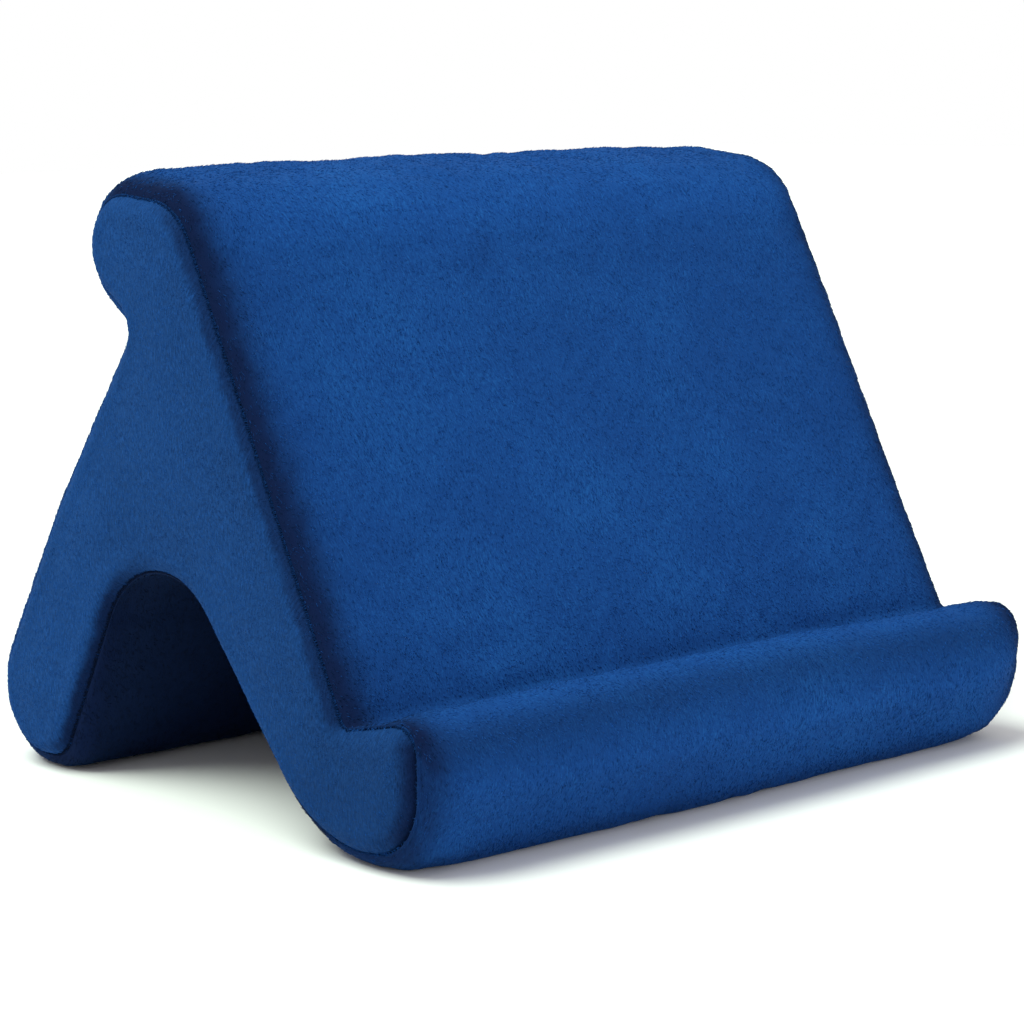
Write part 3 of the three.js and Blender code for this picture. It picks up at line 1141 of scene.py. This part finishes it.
def brushed_strokes(nodes, place, lean, stroke_length):
    """The tone of strokes brushed along the cloth, in patches of two directions."""
    cloth = nodes.add("UVMap", uv_map="cloth").outputs["UV"]
    drift = nodes.add("TexNoise", Vector=place, Scale=DRIFT_SCALE, Detail=1.0).outputs["Color"]
    drift = nodes.vector("SUBTRACT", drift, (0.5, 0.5, 0.5))
    brushed = nodes.vector("ADD", cloth, nodes.vector("SCALE", drift, scale=DRIFT))
    patch = nodes.math("MULTIPLY_ADD", nodes.noise(place, PATCH_SCALE, detail=1.0), *PATCH_EDGE, clamp=True)
    shares = (patch, nodes.math("SUBTRACT", 1.0, patch))
    strokes = []
    for share, (turn, length, width) in zip(shares, STROKES):
        scale = (1 / (length * stroke_length), 1 / width, 1)
        mapping = nodes.add("Mapping", Vector=brushed, Rotation=(0, 0, turn * lean), Scale=scale)
        stroke = nodes.noise(mapping.outputs["Vector"], 1.0, roughness=0.55)
        strokes.append(nodes.math("MULTIPLY", stroke, share))
    return nodes.math("ADD", *strokes)


def plush_normal(nodes, fibre, cloud):
    """The bump of the fibres over the softer one of the clouds."""
    strength, height = FIBRE_BUMP
    fine = nodes.add("Bump", Strength=strength, Distance=height, Height=fibre)
    strength, height = CLOUD_BUMP
    soft = nodes.add("Bump", Strength=strength, Distance=height, Height=cloud, Normal=fine.outputs["Normal"])
    return soft.outputs["Normal"]


def plush_material(name, finish, colours, lean, contrast):
    """Short plush under the pile: brushed strokes, cloudy patches, painted light and shade, and painted shade
    in the tunnel and creases.
    """
    material = bpy.data.materials.new(name)
    nodes = Nodes(material)
    place = nodes.add("TexCoord").outputs["Object"]
    stroke = brushed_strokes(nodes, place, lean, finish.stroke)
    grain = nodes.noise(place, GRAIN_SCALE, roughness=0.6)
    cloud = nodes.noise(place, CLOUD_SCALE, detail=3.0, roughness=0.55)
    fibre = nodes.math("MULTIPLY_ADD", stroke, STROKE_SHARE, nodes.math("MULTIPLY", grain, 1 - STROKE_SHARE))
    light = nodes.math("MULTIPLY_ADD", nodes.math("SUBTRACT", fibre, 0.5), contrast, 0.5)
    light = nodes.math("MULTIPLY_ADD", nodes.math("SUBTRACT", cloud, 0.5), CLOUD_LIGHT, light)
    dark, middle, pale = (opaque(colour) for colour in colours)
    colour = nodes.ramp(light, (0.0, dark), (0.5, middle), (1.0, pale))
    # Painted light and shade: the colour is scaled lighter or darker over broad areas.
    brushed = nodes.math("MULTIPLY_ADD", nodes.attribute("painted_shading"), PAINTED_SHADING_GAIN, 1.0)
    colour = nodes.vector("SCALE", colour, scale=brushed)
    # Painted shade: the tunnel's cloth and the creases are mixed towards dark blues.
    colour = nodes.mix(nodes.attribute("tunnel"), colour, opaque(finish.shadow))
    colour = nodes.mix(nodes.attribute("crease"), colour, opaque(finish.crease))
    shader = nodes.add("BsdfPrincipled", Roughness=0.9, Normal=plush_normal(nodes, fibre, cloud))
    nodes.put(shader.inputs["Base Color"], colour)
    shader.inputs["Specular IOR Level"].default_value = 0.06
    shader.inputs["Sheen Weight"].default_value = 0.1
    shader.inputs["Sheen Roughness"].default_value = 0.35
    shader.inputs["Sheen Tint"].default_value = opaque(SHEEN)
    nodes.surface(shader)


class PILLOW_OT_materials(bpy.types.Operator):
    """Makes the plush for the wrap and for the end panels"""

    bl_idname = "pillow.materials"
    bl_label = "Plush"

    def execute(self, context):
        finish = context.scene.pillow_finish
        middle = np.array(finish.royal) * WRAP_MIDDLE
        plush_material("wrap_plush", finish, (finish.deep, middle, finish.tip), *WRAP_NAP)
        side = np.array(finish.side)
        plush_material("panel_plush", finish, [side * tone for tone in PANEL_TONES], *PANEL_NAP)
        return {"FINISHED"}


# The floor's width and how far it lies under the feet, in metres, and its shade.
FLOOR_WIDTH = 12
FLOOR_DROP = 0.0002
FLOOR_SHADE = (0.93, 0.93, 0.93)

# The sun's direction, its width in degrees, its strength and its faintly green colour.
SUN_FROM = (-0.45, 0.15, 1.0)
SUN_ANGLE = 40.0
SUN_STRENGTH = 3.1
SUN_COLOUR = (0.88, 1.0, 0.87)

# The strength of the light from all round, and of the white that the camera sees behind the floor.
SOFT_LIGHT = 0.65
BACKDROP_LIGHT = 1.0

# The round lamp in front: its place and width in metres and its watts.
LAMP_PLACE = (0.1, -1.9, 0.3)
LAMP_WIDTH = 1.3
LAMP_WATTS = 11

# The camera: its place in metres, its turn, dip and roll in degrees, its lens and sensor in millimetres, and
# the nearest and furthest that it sees in metres.
CAMERA_PLACE = (-0.6658, -0.7861, 0.2471)
CAMERA_TURN = -40.33
CAMERA_DIP = 8.78
CAMERA_ROLL = -1.07
CAMERA_LENS = 99.95
CAMERA_SENSOR = 36
CAMERA_REACH = (0.05, 30)


class PILLOW_OT_stage(bpy.types.Operator):
    """Makes the pale floor, the soft lights and the camera"""

    bl_idname = "pillow.stage"
    bl_label = "Stage"

    def execute(self, context):
        scene = context.scene
        self.lay_floor(context)
        sun = self.light(scene, "sun", "SUN", SUN_FROM, SUN_STRENGTH)
        sun.data.angle = math.radians(SUN_ANGLE)
        sun.data.color = SUN_COLOUR
        lamp = self.light(scene, "front", "AREA", LAMP_PLACE, LAMP_WATTS)
        lamp.data.shape = "DISK"
        lamp.data.size = LAMP_WIDTH
        lamp.location = LAMP_PLACE
        self.light_all_round(scene)
        self.place_camera(scene)
        scene.view_settings.view_transform = "Standard"
        scene.view_settings.look = "None"
        return {"FINISHED"}

    def lay_floor(self, context):
        bpy.ops.object.select_all(action="DESELECT")
        bpy.ops.mesh.primitive_plane_add(size=FLOOR_WIDTH, location=(0, 0, -FLOOR_DROP))
        floor = context.active_object
        floor.name = "floor"
        floor.data.materials.append(plain_material("pale_floor", FLOOR_SHADE, 0.9, 0.5))

    def light(self, scene, name, kind, away, energy):
        """A lamp that shines from this side towards the middle of the floor."""
        data = bpy.data.lights.new(name, kind)
        data.energy = energy
        lamp = bpy.data.objects.new(name, data)
        scene.collection.objects.link(lamp)
        lamp.rotation_euler = Vector(away).to_track_quat("Z", "Y").to_euler()
        return lamp

    def light_all_round(self, scene):
        """Soft white light from all round, with a plain white where the camera looks past the floor."""
        scene.world = bpy.data.worlds.new("studio")
        scene.world.use_nodes = True
        tree = scene.world.node_tree
        soft, seen = tree.nodes["Background"], tree.nodes.new("ShaderNodeBackground")
        for background, strength in ((soft, SOFT_LIGHT), (seen, BACKDROP_LIGHT)):
            background.inputs["Strength"].default_value = strength
            background.inputs["Color"].default_value = (1, 1, 1, 1)
        ray, choice = tree.nodes.new("ShaderNodeLightPath"), tree.nodes.new("ShaderNodeMixShader")
        tree.links.new(ray.outputs["Is Camera Ray"], choice.inputs["Fac"])
        tree.links.new(soft.outputs[0], choice.inputs[1])
        tree.links.new(seen.outputs[0], choice.inputs[2])
        tree.links.new(choice.outputs[0], tree.nodes["World Output"].inputs["Surface"])

    def place_camera(self, scene):
        data = bpy.data.cameras.new("camera")
        data.sensor_width = CAMERA_SENSOR
        data.lens = CAMERA_LENS
        data.clip_start, data.clip_end = CAMERA_REACH
        camera = bpy.data.objects.new("camera", data)
        scene.collection.objects.link(camera)
        turn = Matrix.Rotation(math.radians(CAMERA_TURN), 4, "Z")
        tilt = Matrix.Rotation(math.radians(90 - CAMERA_DIP), 4, "X")
        roll = Matrix.Rotation(math.radians(CAMERA_ROLL), 4, "Z")
        camera.matrix_world = Matrix.Translation(CAMERA_PLACE) @ turn @ tilt @ roll
        scene.camera = camera


class PILLOW_PT_sidebar(bpy.types.Panel):
    """Lists the pillow's steps, sizes and colours"""

    bl_idname = "PILLOW_PT_sidebar"
    bl_label = "Pillow"
    bl_space_type = "VIEW_3D"
    bl_region_type = "UI"
    bl_category = "Pillow"

    def draw(self, context):
        for step in STEPS:
            self.layout.operator(step.bl_idname)
        for group in (context.scene.pillow_sizes, context.scene.pillow_finish):
            for key in type(group).__annotations__:
                self.layout.prop(group, key)


STEPS = (PILLOW_OT_materials, PILLOW_OT_wrap, PILLOW_OT_end_panels, PILLOW_OT_pile, PILLOW_OT_stage)
CLASSES = (PillowSizes, PillowFinish, *STEPS, PILLOW_PT_sidebar)


def register():
    for kind in CLASSES:
        bpy.utils.register_class(kind)
    bpy.types.Scene.pillow_sizes = PointerProperty(type=PillowSizes)
    bpy.types.Scene.pillow_finish = PointerProperty(type=PillowFinish)


def unregister():
    del bpy.types.Scene.pillow_finish
    del bpy.types.Scene.pillow_sizes
    for kind in reversed(CLASSES):
        bpy.utils.unregister_class(kind)


def main():
    register()
    bpy.ops.pillow.materials()
    bpy.ops.pillow.wrap()
    bpy.ops.pillow.end_panels()
    bpy.ops.pillow.pile()
    bpy.ops.pillow.stage()


if __name__ == "__main__":
    main()
